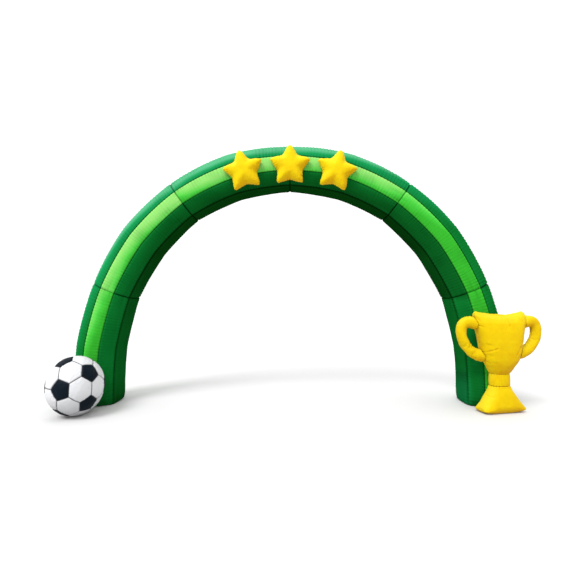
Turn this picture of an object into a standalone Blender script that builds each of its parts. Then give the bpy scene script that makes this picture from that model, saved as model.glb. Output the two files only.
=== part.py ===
"""Inflatable football arch: a fan-filled cloth tube in six segments, with three
plump stars, a ball and a two-handled trophy sewn to its front.

Metres, +Z up. The front looks along -Y. The arch is drawn about its own middle,
and one empty then carries every piece so that the middle of the whole footprint
on the ground is the origin.
"""
import math

import bmesh
import bpy
import numpy as np
from mathutils import Matrix, Vector

# Gap that neighbouring pieces keep
GAP = 0.0003

# Centre line of the tube: straight legs under a slightly squared half ellipse
ARCH_HALF_SPAN = 2.733
ARCH_RISE = 3.111
LEG_STRAIGHT = 0.211
ARCH_SQUARENESS = 2.094
SEGMENTS = 6

# Octagonal section of the tube: radial sizes and depths from its centre
STRIPE_WIDTH = 0.204
HALF_RADIAL = 0.276
HALF_DEPTH = 0.352
HALF_SIDE = 0.206
PANEL_BULGE = 0.10
NARROW_PANEL_STEPS = 4
WIDE_PANEL_STEPS = 6

# How the cloth draws in at the cross seams, and flattens between the gores
SEAM_BULGE = 0.55
SEAM_PINCH = 0.975
SEAM_FULLNESS = 0.6
GORES_IN_SEGMENT = 2
GORE_FLATNESS = 0.008

# The foot is rounded in towards the ground, where its sewn-in base lies flat
FOOT_ROUND_HEIGHT = 0.17
FOOT_RADIAL = 0.975
FOOT_DEPTH = 0.78
FOOT_SIDE = 0.97
FOOT_BULGE = 0.45

# Fractions of one segment's length where its section is drawn
SEGMENT_STATIONS = (0.0, 0.035, 0.11, 0.24, 0.37, 0.50, 0.63, 0.76, 0.89, 0.965, 1.0)
FOOT_STATIONS = (0.0, 0.018, 0.045, 0.085, 0.125, 0.24, 0.37, 0.50, 0.63, 0.76, 0.89, 0.965, 1.0)

# Stars on the crown of the arch
STAR_COUNT = 3
STAR_PITCH = 0.64
STAR_TIP_RADIUS = 0.315
STAR_NOTCH_RADIUS = 0.178
STAR_FRONT = 0.115
STAR_BACK = 0.030
STAR_FLAT_SHARE = 0.62
STAR_TIP_SOFTNESS = 0.17
STAR_NOTCH_SOFTNESS = 0.12
STAR_CORNER_FULLNESS = 0.45
STAR_RADIUS_ON_ARCH = -0.06

# Ball of twelve pentagons and twenty hexagons
BALL_RADIUS = 0.379
BALL_WIDTH = 0.895
BALL_X = -2.736
BALL_PRESSED_FLAT = 0.08
BALL_FOOT_FLAT = 0.005
BALL_SEAM_DEPTH = 0.007
BALL_TURN_DEG = (-65.9, 17.4, -2.6)
BALL_PANEL_STEPS = 3
BALL_PANEL_FULLNESS = 1.6

# Trophy: its place, its turn, and its tables of sections from the ground up
TROPHY_X = 2.736
TROPHY_BACK_Y = -0.3684
TROPHY_TURN_DEG = 6.0
TROPHY_SIDES = 28
RIM_DIP = 0.058
CUP_LEAN = -0.022
BASE_TWIST_DEG = 7.0

BASE_SECTIONS = (
    # height, half_width, front, back, squareness
    (0.000, 0.232, 0.192, -0.020, 4.0),
    (0.020, 0.286, 0.234, -0.024, 6.0),
    (0.036, 0.312, 0.248, -0.018, 8.0),
    (0.062, 0.303, 0.246, -0.004, 7.0),
    (0.125, 0.262, 0.240, 0.008, 5.0),
    (0.210, 0.205, 0.228, 0.010, 4.0),
    (0.290, 0.156, 0.218, 0.012, 3.0),
    (0.345, 0.131, 0.210, 0.016, 2.4),
)
NECK_SECTIONS = (
    # height, half_width, front, back, squareness
    (0.000, 0.129, 0.209, 0.017, 2.4),
    (0.050, 0.134, 0.215, 0.012, 2.3),
    (0.110, 0.133, 0.215, 0.012, 2.3),
    (0.160, 0.127, 0.209, 0.017, 2.4),
)
CUP_SECTIONS = (
    # height, half_width, front, back, squareness
    (0.000, 0.129, 0.210, 0.016, 2.4),
    (0.060, 0.170, 0.240, 0.008, 2.6),
    (0.130, 0.214, 0.268, 0.004, 2.8),
    (0.190, 0.245, 0.285, 0.002, 2.9),
    (0.290, 0.273, 0.298, 0.000, 3.0),
    (0.420, 0.296, 0.300, 0.000, 3.2),
    (0.560, 0.321, 0.290, 0.004, 3.4),
    (0.690, 0.349, 0.265, 0.018, 3.6),
    (0.762, 0.358, 0.232, 0.042, 3.6),
    (0.804, 0.350, 0.196, 0.072, 3.4),
    (0.818, 0.328, 0.165, 0.100, 3.0),
)

# Handles: points of the middle line from the upper root round to the lower one,
# as distance out from the trophy's middle and height above the ground
HANDLE_RADIUS = 0.070
HANDLE_SIDES = 14
HANDLE_STEPS = 18
HANDLE_DEPTH = 0.135
HANDLE_CLEARANCE = 0.00036
HANDLE_ROOT_FLARE = 1.22
HANDLE_ROOT_STEPS = 5.0
LEFT_HANDLE = (
    # out, height
    (0.330, 1.166),
    (0.446, 1.189),
    (0.520, 1.146),
    (0.538, 1.056),
    (0.514, 0.950),
    (0.448, 0.842),
    (0.352, 0.764),
    (0.240, 0.744),
)
RIGHT_HANDLE = (
    # out, height
    (0.310, 1.172),
    (0.415, 1.192),
    (0.480, 1.150),
    (0.499, 1.062),
    (0.480, 0.960),
    (0.418, 0.860),
    (0.330, 0.788),
    (0.230, 0.766),
)

# Edges sharper than this stay creased in the shading
CREASE_DEG = 32.0

# Cloth colours, linear RGB
DARK_GREEN = (0.004, 0.150, 0.026)
LIGHT_GREEN = (0.050, 0.520, 0.035)
YELLOW = (1.000, 0.640, 0.010)
WHITE = (0.800, 0.800, 0.820)
BLACK = (0.006, 0.007, 0.010)


def clear_scene():
    for old in list(bpy.data.objects):
        bpy.data.objects.remove(old, do_unlink=True)


def cloth(name, colour, roughness):
    """Smooth coated polyester of one colour."""
    material = bpy.data.materials.new(name)
    material.use_nodes = True
    shader = material.node_tree.nodes["Principled BSDF"]
    shader.inputs["Base Color"].default_value = (*colour, 1.0)
    shader.inputs["Roughness"].default_value = roughness
    shader.inputs["Metallic"].default_value = 0.0
    return material


def place_solid(name, build, materials, parent):
    """One closed piece: its bmesh made smooth-shaded and hung on its parent."""
    bmesh.ops.recalc_face_normals(build, faces=build.faces)
    mesh = bpy.data.meshes.new(name)
    build.to_mesh(mesh)
    build.free()
    mesh.shade_smooth()
    mesh.set_sharp_from_angle(angle=math.radians(CREASE_DEG))
    for material in materials:
        mesh.materials.append(material)
    piece = bpy.data.objects.new(name, mesh)
    bpy.context.scene.collection.objects.link(piece)
    piece.parent = parent
    return piece


def loft(rings):
    """A closed solid through rings of equal point count, with flat ends."""
    build = bmesh.new()
    loops = [[build.verts.new(point) for point in ring] for ring in rings]
    count = len(loops[0])
    for low, high in zip(loops, loops[1:]):
        for i in range(count):
            j = (i + 1) % count
            build.faces.new((low[i], low[j], high[j]))
            build.faces.new((low[i], high[j], high[i]))
    build.faces.new(loops[0])
    build.faces.new(loops[-1])
    return build


class CentreLine:
    """The tube's middle line from the left foot over the crown to the right foot."""

    SAMPLES = 4001

    def __init__(self):
        leg = np.array([[-ARCH_HALF_SPAN, 0.0]])
        angle = np.linspace(0.0, math.pi, self.SAMPLES)
        power = 2.0 / ARCH_SQUARENESS
        across = np.sign(np.cos(angle)) * np.abs(np.cos(angle)) ** power
        x = -ARCH_HALF_SPAN * across
        z = LEG_STRAIGHT + ARCH_RISE * np.abs(np.sin(angle)) ** power
        self.points = np.vstack([leg, np.column_stack([x, z]), -leg])
        steps = np.linalg.norm(np.diff(self.points, axis=0), axis=1)
        self.along = np.concatenate([[0.0], np.cumsum(steps)])
        self.length = self.along[-1]

    def point(self, distance):
        x = np.interp(distance, self.along, self.points[:, 0])
        z = np.interp(distance, self.along, self.points[:, 1])
        return np.array([x, z])

    def frame(self, distance):
        """The point at a distance along the line, and the outward direction there."""
        reach = 0.01
        low = max(distance - reach, 0.0)
        high = min(distance + reach, self.length)
        run = self.point(high) - self.point(low)
        run /= np.linalg.norm(run)
        return self.point(distance), np.array([-run[1], run[0]])


def bulged(start, end, steps, bulge):
    """Points of one panel from start up to, not including, end, bowed outwards."""
    start = np.array(start)
    end = np.array(end)
    edge = end - start
    outward = np.array([edge[1], -edge[0]])
    points = []
    for i in range(steps):
        t = i / steps
        points.append(start + edge * t + outward * (4.0 * bulge * t * (1.0 - t)))
    return points


def stripe_section(depth, side, bulge):
    """Light band: front panel, straight cut, back panel, straight cut."""
    half = STRIPE_WIDTH / 2.0 - GAP / 2.0
    points = bulged((-half, -depth), (half, -depth), NARROW_PANEL_STEPS, bulge)
    points.append(np.array((half, -depth)))
    points += bulged((half, depth), (-half, depth), NARROW_PANEL_STEPS, bulge)
    points.append(np.array((-half, depth)))
    return points


def outer_section(depth, side, bulge):
    """Dark band outside the stripe: front shoulder, outer panel, back shoulder."""
    cut = STRIPE_WIDTH / 2.0 + GAP / 2.0
    points = bulged((cut, -depth), (HALF_RADIAL, -side), NARROW_PANEL_STEPS, bulge)
    points += bulged((HALF_RADIAL, -side), (HALF_RADIAL, side), WIDE_PANEL_STEPS, bulge)
    points += bulged((HALF_RADIAL, side), (cut, depth), NARROW_PANEL_STEPS, bulge)
    points.append(np.array((cut, depth)))
    return points


def inner_section(depth, side, bulge):
    """Dark band under the stripe: the outer band turned half round."""
    return [-point for point in outer_section(depth, side, bulge)]


def foot_rounding(height):
    """How far the foot's section has grown at a height: 0 at the ground, 1 above."""
    if height >= FOOT_ROUND_HEIGHT:
        return 1.0
    return math.sqrt(1.0 - (1.0 - height / FOOT_ROUND_HEIGHT) ** 2)


def section_shape(line, distance, fraction):
    """Radial scale, half depth, half side, bulge and radial shift at one station."""
    from_seam = abs(math.sin(math.pi * fraction)) ** SEAM_FULLNESS
    from_ground = min(distance, line.length - distance)
    if from_ground < line.length / SEGMENTS / 2.0:
        grown = foot_rounding(from_ground)
        bulge = FOOT_BULGE + (1.0 - FOOT_BULGE) * grown
        radial = FOOT_RADIAL + (1.0 - FOOT_RADIAL) * grown
        depth = FOOT_DEPTH + (1.0 - FOOT_DEPTH) * grown
        side = FOOT_SIDE + (1.0 - FOOT_SIDE) * grown
    else:
        bulge = SEAM_BULGE + (1.0 - SEAM_BULGE) * from_seam
        radial = SEAM_PINCH + (1.0 - SEAM_PINCH) * from_seam
        depth = radial
        side = radial
    in_gore = (fraction * GORES_IN_SEGMENT) % 1.0
    shift = -4.0 * GORE_FLATNESS * in_gore * (1.0 - in_gore)
    return radial, HALF_DEPTH * depth, HALF_SIDE * side, PANEL_BULGE * bulge, shift


def stations_of(segment):
    """Fractions of a segment's length where its section is drawn."""
    if segment == 0:
        return FOOT_STATIONS
    if segment == SEGMENTS - 1:
        return tuple(1.0 - part for part in reversed(FOOT_STATIONS))
    return SEGMENT_STATIONS


def band_rings(line, segment, section):
    """Rings of one band of one segment, a hair short of its cross seams."""
    run = line.length / SEGMENTS
    rings = []
    for fraction in stations_of(segment):
        distance = (segment + fraction) * run
        radial, depth, side, bulge, shift = section_shape(line, distance, fraction)
        if fraction == 0.0 and segment > 0:
            distance += GAP / 2.0
        if fraction == 1.0 and segment < SEGMENTS - 1:
            distance -= GAP / 2.0
        centre, outward = line.frame(distance)
        ring = []
        for out, y in section(depth, side, bulge):
            place = centre + outward * (out * radial + shift)
            ring.append(Vector((place[0], y, max(place[1], 0.0))))
        rings.append(ring)
    return rings


def build_tube(line, dark, light, parent):
    """Eighteen pieces: each segment's outer, stripe and inner bands."""
    bands = (
        # band, section, cloth
        ("outer", outer_section, dark),
        ("stripe", stripe_section, light),
        ("inner", inner_section, dark),
    )
    for segment in range(SEGMENTS):
        for band, section, material in bands:
            rings = band_rings(line, segment, section)
            place_solid(f"tube_{segment + 1}_{band}", loft(rings), [material], parent)


def tube_front():
    """Y of the stripe's crown, the tube's foremost line."""
    return -(HALF_DEPTH + PANEL_BULGE * (STRIPE_WIDTH - GAP))


def crown_reach(line, low, high):
    """How far the stripe's crown stands out in front between two distances."""
    places = []
    reaches = []
    for segment in range(SEGMENTS):
        for fraction in stations_of(segment):
            distance = (segment + fraction) * line.length / SEGMENTS
            radial, depth, side, bulge, shift = section_shape(line, distance, fraction)
            places.append(distance)
            reaches.append(depth + bulge * (STRIPE_WIDTH - GAP))
    inside = [reach for place, reach in zip(places, reaches) if low < place < high]
    ends = np.interp((low, high), places, reaches)
    return max(*inside, *ends)


def star_outline():
    """Soft five-point outline, tip up: three points round each tip and each notch."""
    sharp = []
    for i in range(10):
        radius = STAR_TIP_RADIUS if i % 2 == 0 else STAR_NOTCH_RADIUS
        angle = math.pi / 2.0 - i * math.pi / 5.0
        sharp.append(Vector((radius * math.cos(angle), radius * math.sin(angle))))
    outline = []
    for i, corner in enumerate(sharp):
        before = sharp[i - 1]
        after = sharp[(i + 1) % 10]
        reach = STAR_TIP_SOFTNESS if i % 2 == 0 else STAR_NOTCH_SOFTNESS
        soft_in = corner.lerp(before, reach)
        soft_out = corner.lerp(after, reach)
        middle = (soft_in + soft_out) / 2.0
        outline += [soft_in, middle.lerp(corner, STAR_CORNER_FULLNESS), soft_out]
    return outline


def build_star(name, line, along, material, parent):
    """A plump star with a crowned front, and a back flat where it meets the tube."""
    rows = (
        # share of the outline, depth in front of the seam
        (STAR_FLAT_SHARE, -STAR_BACK),
        (0.88, -STAR_BACK * 0.75),
        (1.00, 0.0),
        (0.965, STAR_FRONT * 0.28),
        (0.89, STAR_FRONT * 0.54),
        (0.74, STAR_FRONT * 0.78),
        (0.52, STAR_FRONT * 0.92),
        (0.26, STAR_FRONT * 0.985),
    )
    outline = star_outline()
    rings = [[Vector((p.x * share, -depth, p.y * share)) for p in outline] for share, depth in rows]
    star = place_solid(name, loft(rings), [material], parent)
    centre, outward = line.frame(along)
    place = centre + outward * STAR_RADIUS_ON_ARCH
    half_back = STAR_FLAT_SHARE * STAR_TIP_RADIUS
    seat = crown_reach(line, along - half_back, along + half_back)
    star.location = (place[0], -seat - GAP - STAR_BACK, place[1])
    star.rotation_euler = (0.0, math.atan2(outward[0], outward[1]), 0.0)
    return star


def ball_panels():
    """The twelve pentagons and twenty hexagons as rings of unit directions."""
    golden = (1.0 + math.sqrt(5.0)) / 2.0
    tips = []
    for a in (-1.0, 1.0):
        for b in (-golden, golden):
            tips += [Vector((0, a, b)), Vector((a, b, 0)), Vector((b, 0, a))]
    near = [[j for j in range(12) if j != i and (tips[i] - tips[j]).length < 2.1] for i in range(12)]

    def around(points, centre):
        axis = centre.normalized()
        side = (points[0] - axis * points[0].dot(axis)).normalized()
        up = axis.cross(side)
        return sorted(points, key=lambda p: math.atan2(p.dot(up), p.dot(side)))

    panels = []
    for i in range(12):
        corners = [tips[i].lerp(tips[j], 1.0 / 3.0) for j in near[i]]
        panels.append(around(corners, tips[i]))
    for i in range(12):
        for j in near[i]:
            for k in near[j]:
                if i < j < k and k in near[i]:
                    trio = (tips[i], tips[j], tips[k])
                    corners = [p.lerp(q, 1.0 / 3.0) for p in trio for q in trio if p is not q]
                    panels.append(around(corners, sum(trio, Vector())))
    return [[corner.normalized() for corner in panel] for panel in panels]


def build_ball(white, black, parent):
    """One filled ball: each panel crowned between sewn-in seams, with a flat foot."""
    build = bmesh.new()
    steps = BALL_PANEL_STEPS
    turn = [math.radians(angle) for angle in BALL_TURN_DEG]
    axes = (Matrix.Rotation(turn[2], 3, "Z") @ Matrix.Rotation(turn[1], 3, "Y")
            @ Matrix.Rotation(turn[0], 3, "X"))
    made = {}

    def vertex(direction, from_seam):
        fullness = min(1.0, from_seam * BALL_PANEL_FULLNESS)
        radius = BALL_RADIUS - BALL_SEAM_DEPTH * (1.0 - fullness)
        point = axes @ (direction.normalized() * radius)
        point.x *= BALL_WIDTH
        point.y = min(point.y, BALL_RADIUS - BALL_PRESSED_FLAT)
        point.z = max(point.z, BALL_FOOT_FLAT - BALL_RADIUS)
        key = tuple(round(value, 5) for value in point)
        if key not in made:
            made[key] = build.verts.new(point)
        return made[key]

    for number, panel in enumerate(ball_panels()):
        middle = sum(panel, Vector()) / len(panel)
        for side, first in enumerate(panel):
            second = panel[(side + 1) % len(panel)]
            grid = {}
            for i in range(steps + 1):
                for j in range(steps + 1 - i):
                    share_in = 1.0 - (i + j) / steps
                    spot = middle * share_in + first * (i / steps) + second * (j / steps)
                    grid[i, j] = vertex(spot, share_in)
            for i in range(steps):
                for j in range(steps - i):
                    triangles = [(grid[i, j], grid[i + 1, j], grid[i, j + 1])]
                    if i + j < steps - 1:
                        triangles.append((grid[i + 1, j], grid[i + 1, j + 1], grid[i, j + 1]))
                    for corners in triangles:
                        if len(set(corners)) == 3:
                            face = build.faces.new(corners)
                            face.material_index = 1 if number < 12 else 0
    ball = place_solid("ball", build, [white, black], parent)
    back = tube_front() - GAP
    ball.location = (BALL_X, back - BALL_RADIUS + BALL_PRESSED_FLAT, BALL_RADIUS - BALL_FOOT_FLAT)
    return ball


def round_square(half_width, front, back, squareness, height):
    """One level ring of the trophy: a rounded oblong from its front to its back."""
    centre = (front + back) / 2.0
    half_depth = (front - back) / 2.0
    ring = []
    for i in range(TROPHY_SIDES):
        angle = 2.0 * math.pi * i / TROPHY_SIDES
        c = math.cos(angle)
        s = math.sin(angle)
        x = half_width * math.copysign(abs(c) ** (2.0 / squareness), c)
        y = half_depth * math.copysign(abs(s) ** (2.0 / squareness), s)
        ring.append(Vector((x, y - centre, height)))
    return ring


def stacked(sections, foot):
    """Rings of one piece of the trophy, from its table of sections."""
    return [round_square(w, f, b, n, foot + z) for z, w, f, b, n in sections]


def base_rings():
    """Rings of the base, which turns a little further out towards the ground."""
    top = BASE_SECTIONS[-1][0]
    rings = stacked(BASE_SECTIONS, 0.0)
    for (z, *_), ring in zip(BASE_SECTIONS, rings):
        twist = Matrix.Rotation(math.radians(BASE_TWIST_DEG) * (1.0 - z / top), 3, "Z")
        for point in ring:
            point.xyz = twist @ point
    return rings


def cup_rings(foot, grow):
    """Rings of the closed cup, its rim dipping between the corners."""
    rim = CUP_SECTIONS[-1][0]
    rings = []
    for z, w, f, b, n in CUP_SECTIONS:
        ring = round_square(w + grow, f + grow, b - grow, n, foot + z)
        for point in ring:
            middle = 1.0 - (point.x / (w + grow)) ** 2
            point.z -= RIM_DIP * middle * (z / rim) ** 4
            point.x += CUP_LEAN * (z / rim)
        rings.append(ring)
    return rings


def build_handle(name, points, side, material, parent):
    """A sewn tube between the cup's shoulder and its lower side."""
    control = [Vector((side * out, -HANDLE_DEPTH, height)) for out, height in points]
    ends = [control[0] * 2 - control[1], *control, control[-1] * 2 - control[-2]]
    spans = len(control) - 1
    path = []
    for step in range(HANDLE_STEPS + 1):
        place = step / HANDLE_STEPS * spans
        k = min(int(place), spans - 1)
        t = place - k
        p0, p1, p2, p3 = ends[k:k + 4]
        path.append(0.5 * (2 * p1 + (p2 - p0) * t + (2 * p0 - 5 * p1 + 4 * p2 - p3) * t * t
                           + (3 * p1 - p0 - 3 * p2 + p3) * t ** 3))
    rings = []
    for i, centre in enumerate(path):
        run = (path[min(i + 1, HANDLE_STEPS)] - path[max(i - 1, 0)]).normalized()
        out = Vector((0.0, 1.0, 0.0))
        up = run.cross(out).normalized()
        grown = min(1.0, min(i, HANDLE_STEPS - i) / HANDLE_ROOT_STEPS)
        radius = HANDLE_RADIUS * (HANDLE_ROOT_FLARE + (1.0 - HANDLE_ROOT_FLARE) * grown)
        ring = []
        for k in range(HANDLE_SIDES):
            angle = 2.0 * math.pi * k / HANDLE_SIDES
            ring.append(centre + up * (radius * math.cos(angle)) + out * (radius * math.sin(angle)))
        rings.append(ring)
    return place_solid(name, loft(rings), [material], parent)


def build_trophy(material, root):
    """Base, neck, closed cup and two handles, all on one turned empty."""
    stand = bpy.data.objects.new("trophy_stand", None)
    bpy.context.scene.collection.objects.link(stand)
    stand.parent = root
    stand.location = (TROPHY_X, TROPHY_BACK_Y, 0.0)
    stand.rotation_euler = (0.0, 0.0, math.radians(TROPHY_TURN_DEG))

    neck_foot = BASE_SECTIONS[-1][0] + GAP
    cup_foot = neck_foot + NECK_SECTIONS[-1][0] + GAP
    place_solid("trophy_base", loft(base_rings()), [material], stand)
    place_solid("trophy_neck", loft(stacked(NECK_SECTIONS, neck_foot)), [material], stand)
    place_solid("trophy_cup", loft(cup_rings(cup_foot, 0.0)), [material], stand)

    cutter = place_solid("cup_cutter", loft(cup_rings(cup_foot, HANDLE_CLEARANCE)), [], stand)
    cutter.hide_render = True
    cutter.display_type = "WIRE"
    handles = (
        # name, points, side
        ("trophy_handle_left", LEFT_HANDLE, -1.0),
        ("trophy_handle_right", RIGHT_HANDLE, 1.0),
    )
    for name, points, side in handles:
        handle = build_handle(name, points, side, material, stand)
        cut = handle.modifiers.new("meets_cup", "BOOLEAN")
        cut.operation = "DIFFERENCE"
        cut.solver = "EXACT"
        cut.object = cutter


def settle_on_origin(root):
    """Moves the root so that the whole footprint's middle is the origin."""
    bpy.context.view_layer.update()
    corners = []
    for piece in bpy.context.scene.objects:
        if piece.type == "MESH":
            corners += [piece.matrix_world @ vertex.co for vertex in piece.data.vertices]
    low = [min(point[axis] for point in corners) for axis in range(3)]
    high = [max(point[axis] for point in corners) for axis in range(3)]
    root.location = (-(low[0] + high[0]) / 2.0, -(low[1] + high[1]) / 2.0, 0.0)
    bpy.context.view_layer.update()


def main():
    clear_scene()
    dark = cloth("cloth_dark_green", DARK_GREEN, 0.45)
    light = cloth("cloth_light_green", LIGHT_GREEN, 0.45)
    yellow = cloth("cloth_yellow", YELLOW, 0.50)
    white = cloth("cloth_white", WHITE, 0.45)
    black = cloth("cloth_black", BLACK, 0.40)
    root = bpy.data.objects.new("footprint_middle", None)
    bpy.context.scene.collection.objects.link(root)

    line = CentreLine()
    build_tube(line, dark, light, root)
    for number in range(STAR_COUNT):
        along = line.length / 2.0 + (number - (STAR_COUNT - 1) / 2.0) * STAR_PITCH
        build_star(f"star_{number + 1}", line, along, yellow, root)
    build_ball(white, black, root)
    build_trophy(yellow, root)
    settle_on_origin(root)


main()
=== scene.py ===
"""Looks of the inflatable football arch: puckered tube, stars, ball and trophy.

Metres, +Z up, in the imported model's frame. The front looks along -Y.
"""
import math

import bmesh
import bpy
import numpy as np
from mathutils import Matrix, Vector


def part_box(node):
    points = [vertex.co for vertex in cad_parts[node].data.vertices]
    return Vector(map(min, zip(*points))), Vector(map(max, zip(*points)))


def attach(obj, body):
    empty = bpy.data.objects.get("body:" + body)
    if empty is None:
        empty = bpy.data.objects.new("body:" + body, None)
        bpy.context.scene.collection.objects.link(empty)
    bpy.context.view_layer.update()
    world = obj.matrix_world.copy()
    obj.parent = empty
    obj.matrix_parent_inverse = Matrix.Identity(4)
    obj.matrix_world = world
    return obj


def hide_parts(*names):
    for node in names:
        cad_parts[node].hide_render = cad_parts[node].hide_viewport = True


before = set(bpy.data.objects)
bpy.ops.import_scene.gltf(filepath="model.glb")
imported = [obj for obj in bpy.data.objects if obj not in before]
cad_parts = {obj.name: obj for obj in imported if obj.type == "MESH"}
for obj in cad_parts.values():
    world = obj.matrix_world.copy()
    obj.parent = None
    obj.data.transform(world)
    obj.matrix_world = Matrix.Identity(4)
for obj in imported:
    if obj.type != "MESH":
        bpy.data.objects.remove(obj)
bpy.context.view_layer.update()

# Gap between neighbouring pieces
GAP = 0.0003

# Middle line of the tube, about the middle of the arch
ARCH_HALF_SPAN = 2.733
ARCH_RISE = 3.111
LEG_STRAIGHT = 0.211
ARCH_SQUARENESS = 2.094
SEGMENTS = 6
ARCH_X = (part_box("tube_1_outer")[0].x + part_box("tube_6_outer")[1].x) / 2.0
ARCH_Y = (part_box("tube_3_outer")[0].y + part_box("tube_3_outer")[1].y) / 2.0

# Octagonal section of the tube
STRIPE_WIDTH = 0.204
HALF_RADIAL = 0.276
HALF_DEPTH = 0.352
HALF_SIDE = 0.206
PANEL_BULGE = 0.10
PANEL_ROUNDNESS = 0.85

# How the tube draws in at its cross seams and at the ground
SEAM_BULGE = 0.55
SEAM_PINCH = 0.975
SEAM_FULLNESS = 0.6
GORES_IN_SEGMENT = 2
GORE_FLATNESS = 0.008
FOOT_ROUND_HEIGHT = 0.17
FOOT_RADIAL = 0.975
FOOT_DEPTH = 0.78
FOOT_SIDE = 0.97
FOOT_BULGE = 0.15

# Sewing: puckers and grooves along every seam
PUCKER_PITCH = 0.042
PUCKER_HEIGHT = 0.0075
PUCKER_REACH = 0.050
EDGE_EXTRA = 0.7
RIB_REACH = 0.14
RIB_SHARES = {"outer": 0.32, "stripe": 0.09, "inner": 0.16}
GROOVE_DEPTH = 0.010
GROOVE_WIDTH = 0.010
END_GROOVE_SHARE = 1.2
END_PUCKER_REACH = 0.065
CORNER_REACH = 0.030
INNER_SEAM_EXTRA = 1.3

# Slack between the seams: soft waves, folds off the cross seams, creases at the ground
SLACK_HEIGHT = 0.016
END_FOLD_HEIGHT = 0.022
END_FOLD_REACH = 0.17
CREASE_HEIGHT = 0.022
CREASE_REACH = 0.12
FLAT_BY_SEAM = 0.03

# Rows of points along a segment, and how far rows crowd to ends and points to seams
STATIONS = 204
END_CROWDING = 0.30
EDGE_CROWDING = 0.78
LINE_SAMPLES = 2401

# The painted highlight and painted shade of the cloth follow how much it looks this way: to the
# left, and up
PAINTED_LIGHT_SIDE = -0.30
PAINTED_LIGHT_UP = 0.95

# How much paler or deeper each segment is near its start and its end, as a shift of the painted
# light and shade on the light green
SEGMENT_TONES = (
    # start, end
    (0.0, 0.0),
    (0.12, 0.06),
    (-0.40, 0.0),
    (0.0, -0.05),
    (0.0, -0.10),
    (-0.05, 0.0),
)
TONE_REACH = 0.22
GROUND_SHADE_REACH = 0.28

# Corners of the three bands: out and depth, as shares of the section's sizes
#   stripe = share of the half stripe, radial = share of the half radial size,
#   depth and side = shares of the half depth and half side, seam = its number
BANDS = {
    "outer": (
        # stripe, radial, depth, side, seam, points, bulge
        (1.0, 0.0, -1.0, 0.0, 1, 22, 1.0),
        (0.0, 1.0, 0.0, -1.0, 2, 28, 1.0),
        (0.0, 1.0, 0.0, 1.0, 3, 22, 1.0),
        (1.0, 0.0, 1.0, 0.0, 4, 1, 0.0),
    ),
    "stripe": (
        # stripe, radial, depth, side, seam, points, bulge
        (-1.0, 0.0, -1.0, 0.0, 0, 22, 1.0),
        (1.0, 0.0, -1.0, 0.0, 1, 1, 0.0),
        (1.0, 0.0, 1.0, 0.0, 4, 22, 1.0),
        (-1.0, 0.0, 1.0, 0.0, 5, 1, 0.0),
    ),
    "inner": (
        # stripe, radial, depth, side, seam, points, bulge
        (-1.0, 0.0, 1.0, 0.0, 5, 22, 1.0),
        (0.0, -1.0, 0.0, 1.0, 6, 28, 1.0),
        (0.0, -1.0, 0.0, -1.0, 7, 22, 1.0),
        (-1.0, 0.0, -1.0, 0.0, 0, 1, 0.0),
    ),
}

# Ball: twelve pentagons and twenty hexagons, pressed flat at the tube and ground
BALL_RADIUS = 0.379
BALL_WIDTH = 0.895
BALL_PRESSED_FLAT = 0.08
BALL_FOOT_FLAT = 0.005
BALL_TURN_DEG = (-61.87, 19.83, -1.34)
BALL_FRONT_STRETCH = 0.075
BALL_SEAM_DEPTH = 0.009
BALL_SEAM_WIDTH = 0.007
BALL_CROWN = 0.007
BALL_CROWN_REACH = 0.13
BALL_WRINKLE = 0.008
BALL_GATHER = 0.024
BALL_GATHER_REACH = 0.04
BALL_SUBDIVISIONS = 4

# Stars: their front seam stands this far before the flat back
STAR_BACK = 0.030

# Sewing of the yellow pieces
YELLOW_SEAMS = {
    # piece: lobes round the seam, their reach and height, depth of the groove
    "star": (46, 0.045, 0.008, 0.007),
    "cup": (58, 0.035, 0.004, 0.006),
    "neck": (22, 0.040, 0.006, 0.001),
    "handle": (40, 0.045, 0.005, 0.005),
}
YELLOW_SLACK = 0.010

# Trophy: its turn and the two joints of its neck
TROPHY_TURN_DEG = 6.0
NECK_JOINTS = (0.345, 0.505)

# Folds of the trophy's front, each from one x and z to another
CUP_FOLDS = (
    # from, to
    ((2.575, 1.310), (2.690, 1.205)),
    ((2.680, 1.240), (2.688, 1.125)),
    ((2.255, 1.275), (2.330, 1.170)),
    ((2.262, 1.145), (2.350, 1.118)),
    ((2.315, 0.770), (2.520, 0.850)),
    ((2.365, 0.705), (2.455, 0.635)),
    ((2.815, 1.255), (2.885, 1.165)),
    ((2.830, 0.885), (2.765, 0.755)),
)
FOLD_DEPTH = 0.0065
FOLD_WIDTH = 0.012
FOLD_RISE = 0.028
FOLD_STEPS = 10
FOLD_RAY_START = -3.0
FOLD_RIDGE = 0.30
FOLD_RIDGE_AWAY = 1.9

# Voxel that each filled piece is remeshed with, and how far its cloth may move
VOXELS = {"star": 0.010, "cup": 0.011, "base": 0.010, "neck": 0.008, "handle": 0.010}
CLOTH_FRAMES = 20
CLOTH_PRESSURE = 4.0
CLOTH_CAP = 0.012
CLOTH_STIFFNESS = 0.3
SEAM_SHRINK = 0.08

# What holds a filled piece as it is blown up: distances from its back, joints, ground or root
STAR_HELD = 0.012
JOINT_HELD = 0.012
GROUND_HELD = 0.010
ROOT_HELD = 0.10

# How far from a seam or a joint the cloth is drawn in
SEAM_DRAWN = 0.014
JOINT_DRAWN = 0.02

# Paints of the tube's two cloths: the middle colour, painted lit and painted highlight colours, a
# deep colour for painted shade, and the seam lines
DARK_GREENS = {
    "middle": (0.0030, 0.122, 0.0180),
    "lit": (0.0065, 0.205, 0.060),
    "faded": (0.064, 0.305, 0.145),
    "deep": (0.0018, 0.033, 0.0030),
    "seam": (0.0004, 0.010, 0.0012),
    "end_seam": (0.009, 0.88),
}
LIGHT_GREENS = {
    "middle": (0.053, 0.440, 0.044),
    "lit": (0.090, 0.450, 0.060),
    "faded": (0.198, 0.505, 0.116),
    "deep": (0.027, 0.312, 0.020),
    "seam": (0.0030, 0.085, 0.0080),
    "end_seam": (0.006, 0.55),
}
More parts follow.
